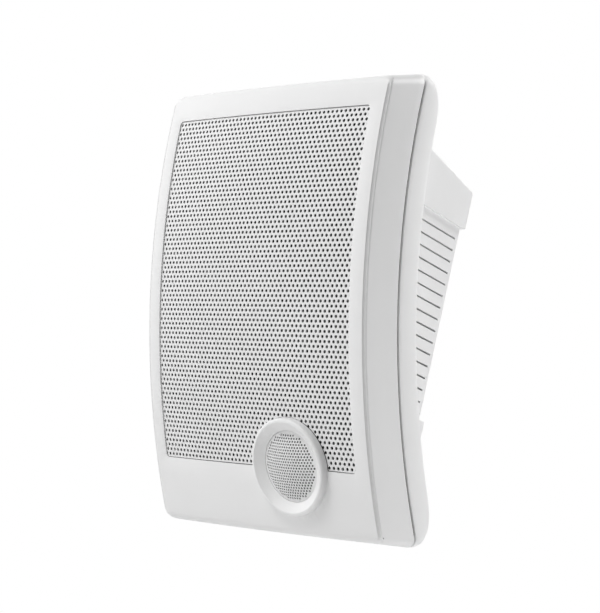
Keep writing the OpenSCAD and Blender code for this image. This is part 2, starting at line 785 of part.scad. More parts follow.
module crossover_capacitor() color("steelblue")
    translate([16, board_front - cap_body_r, -6])
        cylinder(r = cap_body_r, h = cap_len, center = true);

module crossover_resistor() color("white") translate([26, board_front - resistor_w, -8])
    cube([resistor_w, resistor_w, resistor_len]);

module terminal_block() color("green") translate([-8, board_front - block_h, -20])
    difference() {
        translate([-block_w / 2, 0, -block_h / 2]) cube([block_w, block_h, block_h]);
        for (x = [-1, 1]) translate([x * block_w / 4, block_h / 2, -block_h])
            cylinder(r = block_bore_r, h = block_h + 1);
    }

module board_screws() color("silver") board_places()
    screw(2.6, 1.6, shank_r, board_front - 1.6, back_in + 1.5);

module cable_grommet() color("black") translate([0, 0, cable_z]) turned()
    polygon([[cable_r, -0.2], [cable_r, back_in - 1.6], [cable_r + 4, back_in - 1.6],
             [cable_r + 4, back_in], [cable_r + 2 - fit / 2, back_in],
             [cable_r + 2 - fit / 2, -0.2]]);

front_bezel();
woofer_grille();
tweeter_grille();
case_seal();
rear_shell();
rear_housing();
front_baffle();
woofer_basket();
woofer_cone();
woofer_dust_cap();
woofer_voice_coil();
woofer_surround();
woofer_spider();
woofer_top_plate();
woofer_magnet();
woofer_back_plate();
woofer_screws();
tweeter_faceplate();
tweeter_dome();
tweeter_surround();
tweeter_top_plate();
tweeter_magnet();
tweeter_back_plate();
tweeter_screws();
case_screws();
housing_screws();
crossover_board();
crossover_coil();
crossover_capacitor();
crossover_resistor();
terminal_block();
board_screws();
cable_grommet();
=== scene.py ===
"""Looks of the wall speaker: moulded off-white cases, perforated steel and a soft white studio.
Lengths are in metres. The cabinet is drawn upright, X right, Y back, Z up, with its own
origin in the middle of its face, and then leaned and placed on the wall."""
import json
import math

import bmesh
import bpy
import numpy as np
from mathutils import Matrix, Vector
from mathutils.geometry import delaunay_2d_cdt


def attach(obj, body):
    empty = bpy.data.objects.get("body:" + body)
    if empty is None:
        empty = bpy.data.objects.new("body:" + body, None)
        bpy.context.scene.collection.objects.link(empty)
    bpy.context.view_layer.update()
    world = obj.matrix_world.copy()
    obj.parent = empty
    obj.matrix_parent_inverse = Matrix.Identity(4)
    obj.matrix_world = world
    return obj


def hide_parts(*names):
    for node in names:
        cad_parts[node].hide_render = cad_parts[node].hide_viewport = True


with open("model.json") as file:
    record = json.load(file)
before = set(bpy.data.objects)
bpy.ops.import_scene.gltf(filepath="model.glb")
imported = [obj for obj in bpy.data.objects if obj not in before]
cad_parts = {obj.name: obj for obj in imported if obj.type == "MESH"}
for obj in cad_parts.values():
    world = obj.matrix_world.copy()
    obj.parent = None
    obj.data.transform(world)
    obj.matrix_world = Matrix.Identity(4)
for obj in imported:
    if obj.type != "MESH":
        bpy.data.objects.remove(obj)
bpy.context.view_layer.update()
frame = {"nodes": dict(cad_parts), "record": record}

# Cabinet
BOW_R = 0.480
CROWN_R = 0.940
TILT = math.radians(16)
WALL_D = 0.098
HALF_W = 0.091
HALF_H = 0.1296
SEAM_HALF_H = 0.1330
CORNER_R = 0.007
END_R = 0.0045
SIDE_R = 0.0012
WALL = 0.003
GROOVE_X = 0.0895
GROOVE = ((-0.0008, 0), (-0.0004, 0.0007), (0, 0.0014), (0.0004, 0.0010), (0.0008, 0.0005))
GROOVE_TOP = 0.1255
GROOVE_FADE = 0.003
WINDOW_SINK = 0.00012
WINDOW_EDGE = 0.0004
SEAM_D = 0.0303
LIP_R = 0.0005

# Rear shell
SHELL_D = 0.0317
BACK_D = 0.0499
RIM_R = 0.0042
RIM_END_R = 0.018
RIM_CORNER_R = 0.010
OPENING = (0.058, 0.076)
OPENING_R = 0.004
END_PARTS = 12
SIDE_PARTS = 40
CASE_SCREW = (0.0835, 0.109)
BORE_R = 0.0033
BORE_DEPTH = 0.0028
BORE_SIDES = 32
DRILL_LENGTH = 0.02

# Woofer grille
WINDOW_X = 0.0793
WINDOW_TOP = 0.1129
WINDOW_LOW = -0.0910
WINDOW_R = 0.0022
SHEET_GAP = 0.00035
SHEET_STEP = 0.0008
SHEET_T = 0.0006
HOLE_PITCH = 0.00324
HOLE_R = 0.00097
HOLE_ROWS = 72
TOP_ROW_Z = 0.1105
HOLE_SIDES = 12
OUTLINE_STEP = 0.003

# Tweeter
TW_X = 0.0305
TW_Z = -0.090
RING_R = 0.0284
RING_GAP = 0.0002
RING_FOOT = 0.0280
RING_EDGE_R = 0.0016
RING_BEAD_R = 0.0006
LIP_H = 0.0030
DOME_R = 0.0206
DOME_FLANGE = 0.0008
DOME_H = 0.004
DOME_T = 0.0007
DOME_SIDES = 96
DISC_D = 0.0012
DOME_PITCH = 0.0019
DOME_HOLE_R = 0.00066

# Photograph's camera, in the cabinet's own frame
CAM_AZ = math.radians(45.37)
CAM_EL = math.radians(-0.80)
CAM_ROLL = math.radians(1.36)
CAM_TARGET = Vector((0.0449, 0, 0.0006))
CAM_DIST = 1.0832
CAM_LENS = 114.1

# Studio
AIM = (0, -0.08, 0)
SIDE_GLOW = 1.577
FLOOR_Z = -0.42
FLOOR_REACH = 4
FLOOR_BACK = 2


# Places on the cabinet

def face_depth(x, z, d=0.0):
    """Depth of the crowned and bowed face at x, z, or of a sheet d behind it."""
    return BOW_R - np.sqrt((BOW_R - x * x / (2 * CROWN_R) - d) ** 2 - z * z)


def on_wall(points):
    """Points of the upright cabinet, leaned and placed on the wall."""
    p = np.asarray(points, float).reshape(-1, 3)
    c, s = math.cos(TILT), math.sin(TILT)
    return np.stack([p[:, 0], p[:, 1] * c - p[:, 2] * s - WALL_D, p[:, 1] * s + p[:, 2] * c], 1)


def on_tweeter(points):
    """Points of the tweeter, drawn about its own axis, put in place on the cabinet."""
    p = np.asarray(points, float).reshape(-1, 3)
    lean = math.asin(-TW_Z / BOW_R)
    c, s = math.cos(lean), math.sin(lean)
    leaned = np.stack([p[:, 0], p[:, 1] * c - p[:, 2] * s, p[:, 1] * s + p[:, 2] * c], 1)
    return leaned + (TW_X, face_depth(TW_X, TW_Z), TW_Z)


# Outlines, seen from the front

def circle(x, z, r, sides, start=0.0, end=2 * math.pi):
    """Points of a circle, or of an arc from start to end with both its ends."""
    whole = end - start == 2 * math.pi
    angles = np.linspace(start, end, sides, endpoint=not whole)
    return [(x + r * math.cos(a), z + r * math.sin(a)) for a in angles]


def divided(loop, longest):
    """A closed outline with its long sides divided."""
    points = []
    for a, b in zip(loop, loop[1:] + loop[:1]):
        n = max(1, math.ceil(math.dist(a, b) / longest))
        points += [(a[0] + (b[0] - a[0]) * i / n, a[1] + (b[1] - a[1]) * i / n) for i in range(n)]
    return points


def box_outline(half_w, low, top, r, steps=8):
    """Rectangle with round corners, anticlockwise from its lower left corner."""
    quarter = math.pi / 2
    corners = ((-1, low + r, 2), (1, low + r, 3), (1, top - r, 4), (-1, top - r, 5))
    return [p for side, z, k in corners
            for p in circle(side * (half_w - r), z, r, steps + 1, k * quarter, (k + 1) * quarter)]


def staggered(pitch, rows, top, half_width):
    """Hole centres in staggered rows, from the top down; even rows have one on the axis."""
    centres = []
    for j in range(rows):
        shift = (j % 2) / 2
        n = math.floor(half_width / pitch - shift)
        z = top - j * pitch * math.sin(math.pi / 3)
        places = [(i + shift) * pitch for i in range(n + 1)]
        centres += [(x, z) for x in sorted({s * p for p in places for s in (-1, 1)})]
    return np.array(centres)


def inside(points, loop):
    """Which points lie inside a closed outline."""
    x, z = points[:, :1], points[:, 1:]
    a = np.array(loop)
    b = np.roll(a, -1, axis=0)
    spans = (a[:, 1] > z) != (b[:, 1] > z)
    rise = np.where(a[:, 1] == b[:, 1], 1, b[:, 1] - a[:, 1])
    crossing = x < (b[:, 0] - a[:, 0]) * (z - a[:, 1]) / rise + a[:, 0]
    return (spans & crossing).sum(axis=1) % 2 == 1


# Meshes

def turned_out(mesh):
    """Make a mesh's faces look outwards."""
    solid = bmesh.new()
    solid.from_mesh(mesh)
    bmesh.ops.recalc_face_normals(solid, faces=solid.faces)
    solid.to_mesh(mesh)
    solid.free()


def new_piece(name, verts, faces, slot, replaced, sharp_deg=30):
    """Make a mesh a piece of the cabinet that stands for a CAD node."""
    mesh = bpy.data.meshes.new(name)
    mesh.from_pydata(np.asarray(verts).tolist(), [], [list(f) for f in faces])
    mesh.validate()
    turned_out(mesh)
    mesh.shade_smooth()
    mesh.set_sharp_from_angle(angle=math.radians(sharp_deg))
    mesh.materials.append(materials[slot])
    piece = bpy.data.objects.new(name, mesh)
    bpy.context.scene.collection.objects.link(piece)
    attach(piece, "cabinet")
    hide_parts(replaced)


def triangles(loops, lines=()):
    """Flat triangles whose edges follow closed loops and open lines."""
    verts, edges = [], []
    for path in list(loops) + list(lines):
        first = len(verts)
        verts += path
        edges += [(first + i, first + i + 1) for i in range(len(path) - 1)]
    starts = np.cumsum([0] + [len(loop) for loop in loops])
    edges += [(int(b) - 1, int(a)) for a, b in zip(starts, starts[1:])]
    found = delaunay_2d_cdt([Vector(v) * 1000 for v in verts], edges, [], 1, 1e-5)
    return np.array([v[:] for v in found[0]]) / 1000, np.array([f[:] for f in found[2]])


def perforated(outline, centres, hole_r, rings=()):
    """Flat triangles of a perforated sheet; holes may cross its outline."""
    holes = [circle(x, z, hole_r, HOLE_SIDES) for x, z in centres]
    flat, faces = triangles([outline] + holes + list(rings))
    middles = flat[faces].mean(axis=1)
    keep = inside(middles, outline)
    for start in range(0, len(faces), 2000):
        part = middles[start:start + 2000]
        gaps = np.linalg.norm(part[:, None] - centres[None], axis=2)
        keep[start:start + 2000] &= gaps.min(axis=1) > hole_r * math.cos(math.pi / HOLE_SIDES)
    return flat, faces[keep]


def thickened(flat, faces, place):
    """Closed sheet: place(x, z, 0) is its front and place(x, z, 1) its back."""
    faces = turned_up(flat, faces)
    sides = np.concatenate([faces[:, [0, 1]], faces[:, [1, 2]], faces[:, [2, 0]]])
    known = {(int(i), int(j)) for i, j in sides}
    rim = np.array([(i, j) for i, j in sides if (int(j), int(i)) not in known])
    n = len(flat)
    back = faces[:, ::-1] + n
    walls_a = np.stack([rim[:, 1], rim[:, 0], rim[:, 0] + n], 1)
    walls_b = np.stack([rim[:, 1], rim[:, 0] + n, rim[:, 1] + n], 1)
    verts = np.concatenate([place(flat[:, 0], flat[:, 1], 0), place(flat[:, 0], flat[:, 1], 1)])
    used = np.unique(np.concatenate([faces, back, walls_a, walls_b]))
    index = np.zeros(2 * n, int)
    index[used] = np.arange(len(used))
    return verts[used], index[np.concatenate([faces, back, walls_a, walls_b])]


def turned_up(flat, faces):
    """Faces wound so that they look to the front."""
    a, b, c = (flat[faces[:, i]] for i in range(3))
    turn = (b[:, 0] - a[:, 0]) * (c[:, 1] - a[:, 1]) - (b[:, 1] - a[:, 1]) * (c[:, 0] - a[:, 0])
    return np.where(turn[:, None] > 0, faces, faces[:, ::-1])


def lofted(loops, closed=False):
    """Points and quads of a skin through loops with equal numbers of points."""
    n = len(loops[0])
    pairs = [(k, (k + 1) % len(loops)) for k in range(len(loops) if closed else len(loops) - 1)]
    quads = [(a * n + i, a * n + (i + 1) % n, b * n + (i + 1) % n, b * n + i)
             for a, b in pairs for i in range(n)]
    return np.concatenate(loops), quads


def joined(*skins):
    """Several skins as one list of points and faces, with coinciding points made one."""
    verts = np.concatenate([np.asarray(v, float) for v, _ in skins])
    starts = np.cumsum([0] + [len(v) for v, _ in skins])
    faces = [[int(i) + int(start) for i in face] for (_, fs), start in zip(skins, starts) for face in fs]
    keys = np.round(verts * 1e6).astype(int)
    _, first, index = np.unique(keys, axis=0, return_index=True, return_inverse=True)
    index = index.reshape(-1)
    merged = [list(dict.fromkeys(int(index[i]) for i in face)) for face in faces]
    return verts[first], [face for face in merged if len(face) > 2]


# Shader trees

class Wire:
    """An output in a shader tree; arithmetic on it adds Math nodes."""

    def __init__(self, tree, out=None):
        self.tree = tree
        self.out = out

    def node(self, kind, settings=(), inputs=(), output=0):
        """Add a node: its settings first, then values or wires for its sockets."""
        made = self.tree.nodes.new(kind)
        for key, value in dict(settings).items():
            setattr(made, key, value)
        for key, value in dict(inputs).items():
            if isinstance(value, Wire):
                self.tree.links.new(value.out, made.inputs[key])
            else:
                made.inputs[key].default_value = value
        return Wire(self.tree, made.outputs[output])

    def maths(self, operation, a, b=0.0):
        return self.node("ShaderNodeMath", {"operation": operation}, {0: a, 1: b})

    def __add__(self, other):
        return self.maths("ADD", self, other)

    def __sub__(self, other):
        return self.maths("SUBTRACT", self, other)

    def __rsub__(self, other):
        return self.maths("SUBTRACT", other, self)

    def __mul__(self, other):
        return self.maths("MULTIPLY", self, other)

    __radd__ = __add__
    __rmul__ = __mul__


def stretched(place, factors):
    """Coordinates scaled by a factor on each axis."""
    return place.node("ShaderNodeVectorMath", {"operation": "MULTIPLY"}, {0: place, 1: factors})


def noise(place, size, detail=2.0, rough=0.5):
    """Noise from 0 to 1 with lumps of about that size in metres."""
    return place.node("ShaderNodeTexNoise", {"noise_dimensions": "3D"},
                      {"Vector": place, "Scale": 1 / size, "Detail": detail, "Roughness": rough}, "Fac")


def fine_grain(place, size):
    """Even grain of an eroded mould."""
    return noise(place, size, 2) * 0.7 + noise(place, size * 0.35, 1) * 0.3


def spark_grain(place, size):
    """Pitted grain of a spark-eroded mould."""
    pits = place.node("ShaderNodeTexVoronoi", {"feature": "SMOOTH_F1"},
                      {"Vector": place, "Scale": 1 / size, "Smoothness": 0.6}, "Distance")
    return pits * 0.6 + noise(place, size * 0.6, 3) * 0.6


def powder_coat(place, size):
    """Slow waves of a baked powder coat with fine grain on them."""
    return noise(place, size * 4, 1) * 0.75 + noise(place, size, 2) * 0.25


def brushed(place, size):
    """Long scratches along X."""
    return noise(stretched(place, (0.04, 1, 1)), size, 3, 0.7)


def fibres(place, size):
    """Pressed fibres that lie across each other."""
    along = noise(stretched(place, (0.15, 1, 1)), size, 2)
    across = noise(stretched(place, (1, 1, 0.15)), size, 2)
    return along.maths("MAXIMUM", along, across)


def bands(place, size, axis):
    """Parallel ridges across an axis."""
    return place.node("ShaderNodeTexWave", {"bands_direction": axis, "wave_profile": "SIN"},
                      {"Vector": place, "Scale": 0.314 / size, "Distortion": 0.0}, "Fac")


def cloth(place, size):
    """Plain weave."""
    return bands(place, size, "X") * bands(place, size, "Z")


def windings(place, size):
    """Turns of wire laid side by side along the coil."""
    return bands(place, size, "Y") + noise(place, size * 3, 1) * 0.3


MOTTLE = 0.03
GRAINS = {"fine": fine_grain, "spark": spark_grain, "powder": powder_coat, "brushed": brushed,
          "fibres": fibres, "cloth": cloth, "windings": windings}


def material(name, colour, rough, grain, size, height, metal=0.0, coat=0.0):
    """Procedural finish: grain of that size and height in millimetres, with slow mottling."""
    made = bpy.data.materials.new(name)
    made.use_nodes = True
    tree = made.node_tree
    shader = tree.nodes["Principled BSDF"]
    place = Wire(tree).node("ShaderNodeTexCoord", output="Object")
    relief = GRAINS[grain](place, size / 1000)
    clouds = noise(place, 0.03, 3)
    amount = clouds * 0.7 + relief * 0.3
    dark = (*[c * (1 - MOTTLE) for c in colour], 1)
    light = (*[min(1, c * (1 + MOTTLE)) for c in colour], 1)
    tint = place.node("ShaderNodeMix", {"data_type": "RGBA"}, {0: amount, 6: dark, 7: light}, 2)
    gloss = clouds * 0.06 + relief * 0.05 + (rough - 0.055)
    bump = place.node("ShaderNodeBump", (), {"Height": relief, "Strength": 1.0,
                                             "Distance": height / 1000})
    tree.links.new(tint.out, shader.inputs["Base Color"])
    tree.links.new(gloss.out, shader.inputs["Roughness"])
    tree.links.new(bump.out, shader.inputs["Normal"])
    shader.inputs["Metallic"].default_value = metal
    shader.inputs["Coat Weight"].default_value = coat
    shader.inputs["IOR"].default_value = 1.47
    return made


# Finishes: colour, roughness, grain, its size and height in mm, metal, coat

FINISHES = {
    "bezel_plastic": ((0.80, 0.80, 0.80), 0.42, "fine", 0.5, 0.012),
    "shell_plastic": ((0.86, 0.86, 0.86), 0.55, "spark", 0.6, 0.03),
    "housing_plastic": ((0.88, 0.88, 0.88), 0.38, "fine", 0.4, 0.008),
    "grille_steel": ((0.79, 0.79, 0.79), 0.45, "powder", 0.5, 0.02),
    "seal_foam": ((0.06, 0.06, 0.06), 0.85, "spark", 0.5, 0.08),
    "baffle_plastic": ((0.03, 0.03, 0.03), 0.6, "spark", 0.8, 0.04),
    "basket_steel": ((0.03, 0.03, 0.03), 0.45, "powder", 0.6, 0.03),
    "cone_paper": ((0.035, 0.034, 0.033), 0.8, "fibres", 1.2, 0.12),
    "surround_rubber": ((0.022, 0.022, 0.022), 0.6, "fine", 0.6, 0.02),
    "spider_cloth": ((0.52, 0.38, 0.16), 0.85, "cloth", 0.8, 0.15),
    "coil_wire": ((0.72, 0.38, 0.18), 0.32, "windings", 0.6, 0.12, 0.9),
    "plated_steel": ((0.62, 0.62, 0.6), 0.32, "brushed", 0.4, 0.01, 1.0),
    "ferrite": ((0.06, 0.06, 0.063), 0.65, "spark", 0.5, 0.04),
    "dome_silk": ((0.09, 0.08, 0.07), 0.7, "cloth", 0.3, 0.05),
    "screw_steel": ((0.08, 0.08, 0.08), 0.4, "brushed", 0.3, 0.01, 0.8),
    "board_laminate": ((0.03, 0.17, 0.07), 0.4, "cloth", 1.0, 0.02, 0.0, 0.4),
    "capacitor_film": ((0.08, 0.16, 0.45), 0.3, "fine", 1.5, 0.02, 0.0, 0.5),
    "resistor_ceramic": ((0.8, 0.79, 0.74), 0.8, "spark", 0.7, 0.06),
    "terminal_plastic": ((0.06, 0.3, 0.1), 0.45, "fine", 0.6, 0.015),
    "grommet_rubber": ((0.03, 0.03, 0.03), 0.7, "fine", 0.5, 0.02),
}
materials = {slot: material(slot, *values) for slot, values in FINISHES.items()}


# CAD pieces

def smoothing(deg):
    """Modifier tree that joins a CAD mesh's faces and keeps only its real edges sharp."""
    tree = bpy.data.node_groups.new("smoothing", "GeometryNodeTree")
    tree.interface.new_socket("Geometry", in_out="INPUT", socket_type="NodeSocketGeometry")
    tree.interface.new_socket("Geometry", in_out="OUTPUT", socket_type="NodeSocketGeometry")
    source = tree.nodes.new("NodeGroupInput")
    result = tree.nodes.new("NodeGroupOutput")
    plain = tree.nodes.new("GeometryNodeRemoveAttribute")
    plain.inputs["Name"].default_value = "custom_normal"
    weld = tree.nodes.new("GeometryNodeMergeByDistance")
    weld.inputs["Distance"].default_value = 2e-6
    smooth = tree.nodes.new("GeometryNodeSetShadeSmooth")
    edges = tree.nodes.new("GeometryNodeSetShadeSmooth")
    edges.domain = "EDGE"
    edges.inputs["Shade Smooth"].default_value = False
    angle = tree.nodes.new("GeometryNodeInputMeshEdgeAngle")
    compare = tree.nodes.new("FunctionNodeCompare")
    compare.operation = "GREATER_THAN"
    compare.inputs[1].default_value = math.radians(deg)
    chain = [source, plain, weld, smooth, edges, result]
    for a, b in zip(chain, chain[1:]):
        tree.links.new(a.outputs["Geometry"], b.inputs["Geometry"])
    tree.links.new(angle.outputs["Unsigned Angle"], compare.inputs[0])
    tree.links.new(compare.outputs[0], edges.inputs["Selection"])
    return tree


smooth_tree = smoothing(28)
for part in frame["record"]["subparts"]:
    node = frame["nodes"][part["node"]]
    node.data.materials.clear()
    node.data.materials.append(materials[part["material_slot"]])
    modifier = node.modifiers.new("smoothing", "NODES")
    modifier.node_group = smooth_tree
    weighted = node.modifiers.new("weighted", "WEIGHTED_NORMAL")
    weighted.keep_sharp = True


# Woofer grille, with its holes at their real spacing

def ring_outline(r, angles, d):
    """Where a cylinder about the tweeter's axis cuts a sheet that lies d behind the face."""
    along = np.zeros(len(angles))
    lean = math.asin(-TW_Z / BOW_R)
    for _ in range(6):
        p = on_tweeter(np.stack([r * np.cos(angles), along, r * np.sin(angles)], 1))
        along += (face_depth(p[:, 0], p[:, 2], d) - p[:, 1]) / math.cos(lean)
    return [(x, z) for x, _, z in p.tolist()]


def window_outline(gap, r, d, under):
    """The window's outline, gap inside its edge; it passes over or under the ring."""
    start = math.asin(np.clip((WINDOW_LOW + gap - TW_Z) / r, -1, 1))
    end = start + 2 * math.pi if under else start
    arc = ring_outline(r, np.linspace(math.pi - start, end, 90 if under else 61), d)
    corners = box_outline(WINDOW_X - gap, WINDOW_LOW + gap, WINDOW_TOP - gap, WINDOW_R - gap, 6)
    return corners[:7] + arc + corners[7:]


def on_sheet(x, z, side):
    """Points of the sheet's front or back."""
    return on_wall(np.stack([x, face_depth(x, z, SHEET_STEP + SHEET_T * side), z], 1))


outline = divided(window_outline(SHEET_GAP, RING_R + RING_GAP, SHEET_STEP, False), OUTLINE_STEP)
holes = staggered(HOLE_PITCH, HOLE_ROWS, TOP_ROW_Z, WINDOW_X + HOLE_R * 0.6)
open_part = inside(holes, outline) | (np.abs(holes[:, 0]) > WINDOW_X - SHEET_GAP)
reach = np.linalg.norm((holes - (TW_X, TW_Z)) * (1, 1 / math.cos(math.asin(-TW_Z / BOW_R))), axis=1)
holes = holes[(reach > RING_R + RING_GAP) & (open_part | (reach > RING_R))]
verts, faces = thickened(*perforated(outline, holes, HOLE_R), on_sheet)
new_piece("woofer_grille_sheet", verts, faces, "grille_steel", "woofer_grille")


# Tweeter grille, with its fine holes

def on_dome(x, z, side):
    """Points of the dome's front or back."""
    r = DOME_R - DOME_FLANGE / 2
    ball = (r * r + DOME_H**2) / (2 * DOME_H)
    rise = np.sqrt(ball**2 - np.minimum(x * x + z * z, r * r)) - (ball - DOME_H)
    return on_wall(on_tweeter(np.stack([x, DISC_D - rise + DOME_T * side, z], 1)))


rows = 2 * math.floor((DOME_R - DOME_FLANGE) / (DOME_PITCH * math.sin(math.pi / 3))) + 1
fine_holes = staggered(DOME_PITCH, rows, (rows - 1) / 2 * DOME_PITCH * math.sin(math.pi / 3), DOME_R)
fine_holes = fine_holes[np.hypot(*fine_holes.T) < DOME_R - DOME_FLANGE - DOME_HOLE_R]
edge = circle(0, 0, DOME_R, DOME_SIDES)
foot = circle(0, 0, DOME_R - DOME_FLANGE / 2, DOME_SIDES)
inner = circle(0, 0, DOME_R - DOME_FLANGE * 0.9, DOME_SIDES)
verts, faces = thickened(*perforated(edge, fine_holes, DOME_HOLE_R, [foot, inner]), on_dome)
new_piece("tweeter_grille_dome", verts, faces, "grille_steel", "tweeter_grille")


# Bezel: its face is a relief over x, z, with round edges, a groove along each side and a window

def bow_at(z, d):
    """Depth, at height z, of a surface that lies d behind the face's middle at z = 0."""
    return BOW_R - np.sqrt((BOW_R - d) ** 2 - z * z)


def relief(x, z):
    """How far the bezel's face lies behind the crowned surface."""
    far_x, far_z = np.abs(x) - (HALF_W - CORNER_R), np.abs(z) - (HALF_H - CORNER_R)
    out_x, out_z = np.maximum(far_x, 0), np.maximum(far_z, 0)
    out = np.hypot(out_x, out_z)
    inset = CORNER_R - np.where(out > 0, out, np.maximum(far_x, far_z))
    upright = np.where(out > 0, (out_z / np.maximum(out, 1e-9)) ** 2, far_z > far_x)
    r = SIDE_R + (END_R - SIDE_R) * upright
    turn = np.clip(1 - inset / r, 0, 1)
    edge = r * (1 - np.sqrt(1 - turn**2))
    groove = np.interp(np.abs(x) - GROOVE_X, *zip(*GROOVE))
    return edge + groove * np.clip((GROOVE_TOP - z) / GROOVE_FADE, 0, 1)


def outer_loop(inset):
    """Outline of the cabinet's face, that far inside its edge."""
    loop = box_outline(HALF_W - inset, inset - HALF_H, HALF_H - inset, CORNER_R - inset)
    return divided(loop, 0.004)


def side_loop(outline, share, inset=0.0):
    """The face's edge moved towards the seam, with the ends that flare to the rear."""
    x, z = np.array(outline).T
    d = x * x / (2 * CROWN_R) + relief(x, z)
    d = d + (SEAM_D - d) * share
    z = z * (1 + (SEAM_HALF_H / HALF_H - 1) * share)
    shrink = np.stack([x / HALF_W, z / SEAM_HALF_H], 1)
    x, z = x - inset * shrink[:, 0], z - inset * shrink[:, 1]
    return np.stack([x, bow_at(z, d), z], 1)


window = divided(window_outline(0, RING_FOOT, 0, True), OUTLINE_STEP)
window_edge = divided(window_outline(-WINDOW_EDGE, RING_FOOT, 0, True), OUTLINE_STEP)
edge = outer_loop(0)
rings = [outer_loop(inset / 1000) for inset in (0.03, 0.12, 0.3, 0.6, 1.0, 1.5, 2.2, 3.2, 4.5)]
reach = HALF_H - 0.00004
lines = [[(side * (GROOVE_X + x), z) for z in np.linspace(-reach, reach, 90)]
         for side in (-1, 1) for x, _ in GROOVE]
across = [[(x, z) for x in np.linspace(-0.078, 0.078, 27)] for z in (-0.120, -0.112, -0.102, 0.119)]
flat, faces = triangles([edge, window, window_edge] + rings, lines + across)
middles = flat[faces].mean(axis=1)
faces = turned_up(flat, faces[inside(middles, edge) & ~inside(middles, window)])
x, z = flat.T
face_points = np.stack([x, face_depth(x, z, relief(x, z)), z], 1)
near = np.array(window)
gap = np.array([np.hypot(*(near - p).T).min() for p in flat])
face_points[gap < 1e-6, 1] += WINDOW_SINK
walls = [side_loop(edge, share) for share in (0, 0.2, 0.4, 0.6, 0.8, 1 - LIP_R / 0.02)]
walls += [side_loop(edge, 1 - LIP_R / 0.08, LIP_R / 4), side_loop(edge, 1, LIP_R), side_loop(edge, 1, WALL)]
side_points, side_quads = lofted(walls)
x, z = np.array(window).T
rims = [np.stack([x, face_depth(x, z, d), z], 1) for d in (WINDOW_SINK, WALL)]
rim_points, rim_quads = lofted(rims[::-1])
inner = outer_loop(WALL)
inner_flat, inner_faces = triangles([inner, window], across)
middles = inner_flat[inner_faces].mean(axis=1)
inner_faces = turned_up(inner_flat, inner_faces[inside(middles, inner) & ~inside(middles, window)])
x, z = inner_flat.T
inner_points = np.stack([x, face_depth(x, z, WALL), z], 1)


def ring_section():
    """Section of the tweeter ring: radius and depth, from its foot over its lip to its throat."""
    crest = RING_R - RING_EDGE_R
    bead = crest - 0.0004
    outer = [(RING_R, 0.0018), (RING_R, -0.0004)]
    outer += [(crest + RING_EDGE_R * math.cos(a), -LIP_H + RING_EDGE_R * (1 - math.sin(a)))
              for a in np.linspace(0, math.pi / 2, 8)]
    outer += [(bead + RING_BEAD_R * math.cos(a), -LIP_H + RING_BEAD_R * (1 - math.sin(a)))
              for a in np.linspace(math.pi / 2, math.radians(145), 6)]
    return outer + [(DOME_R + 0.0002, 0.0010), (DOME_R + 0.0002, 0.0019), (DOME_R - 0.0012, 0.0019),
                    (DOME_R - 0.0012, 0.0060)]


section = np.array(ring_section())
angles = np.radians(np.arange(0, 360, 2.5))
turns = [on_tweeter(np.stack([section[:, 0] * math.cos(a), section[:, 1], section[:, 0] * math.sin(a)], 1))
         for a in angles]
n = len(section)
ring_points = np.concatenate(turns)
ring_quads = [(a * n + i, a * n + i + 1, b * n + i + 1, b * n + i)
              for a, b in zip(range(len(turns)), list(range(1, len(turns))) + [0]) for i in range(n - 1)]
verts, faces = joined((face_points, faces), (side_points, side_quads), (rim_points, rim_quads),
                      (inner_points, inner_faces[:, ::-1]), (ring_points, ring_quads))
new_piece("bezel", on_wall(verts), faces, "bezel_plastic", "front_bezel", 35)


# Rear shell: bowed, with a broad round rim and an opening behind the drivers

def shell_loop(half_w, half_h, r, d):
    """Round-cornered loop with divided sides, that far behind the middle of the face."""
    loop = box_outline(half_w, -half_h, half_h, r)
    steps = len(loop) // 4
    points = []
    for k in range(4):
        arc = loop[k * steps:(k + 1) * steps]
        a, b = arc[-1], loop[(k + 1) * steps % len(loop)]
        count = END_PARTS if k % 2 == 0 else SIDE_PARTS
        points += arc[:-1]
        points += [(a[0] + (b[0] - a[0]) * i / count, a[1] + (b[1] - a[1]) * i / count) for i in range(count)]
    x, z = np.array(points).T
    return np.stack([x, bow_at(z, d), z], 1)


def rim_loop(angle, inset=0.0):
    """Loop where the shell's rim has turned by an angle, or of the skin inside it."""
    sink = 1 - math.cos(angle)
    half_w = HALF_W - RIM_R * sink - inset
    half_h = SEAM_HALF_H - RIM_END_R * sink - inset
    d = SHELL_D + LIP_R + (BACK_D - inset - SHELL_D - LIP_R) * math.sin(angle)
    return shell_loop(half_w, half_h, CORNER_R + RIM_CORNER_R * sink, d)


def bored(verts, faces, bores):
    """A closed mesh with round bores sunk into it from behind."""
    n = BORE_SIDES
    points, sides = [], []
    for x, floor_y, z, r in bores:
        start = len(points)
        rim = circle(x, z, r, n)
        points += [(px, y, pz) for y in (floor_y, floor_y + DRILL_LENGTH) for px, pz in rim]
        sides += [list(range(start, start + n)), list(range(start + 2 * n - 1, start + n - 1, -1))]
        sides += [[start + i, start + n + i, start + n + (i + 1) % n, start + (i + 1) % n] for i in range(n)]
    solids = []
    for name, solid_points, solid_faces in (("blank", verts, faces), ("drills", points, sides)):
        mesh = bpy.data.meshes.new(name)
        mesh.from_pydata(np.asarray(solid_points).tolist(), [], [list(f) for f in solid_faces])
        turned_out(mesh)
        solids.append(bpy.data.objects.new(name, mesh))
        bpy.context.scene.collection.objects.link(solids[-1])
    cut = solids[0].modifiers.new("bores", "BOOLEAN")
    cut.object = solids[1]
    cut.solver = "EXACT"
    result = solids[0].evaluated_get(bpy.context.evaluated_depsgraph_get()).to_mesh()
    kept = [v.co[:] for v in result.vertices], [list(f.vertices) for f in result.polygons]
    for solid in solids:
        bpy.data.objects.remove(solid)
    return kept


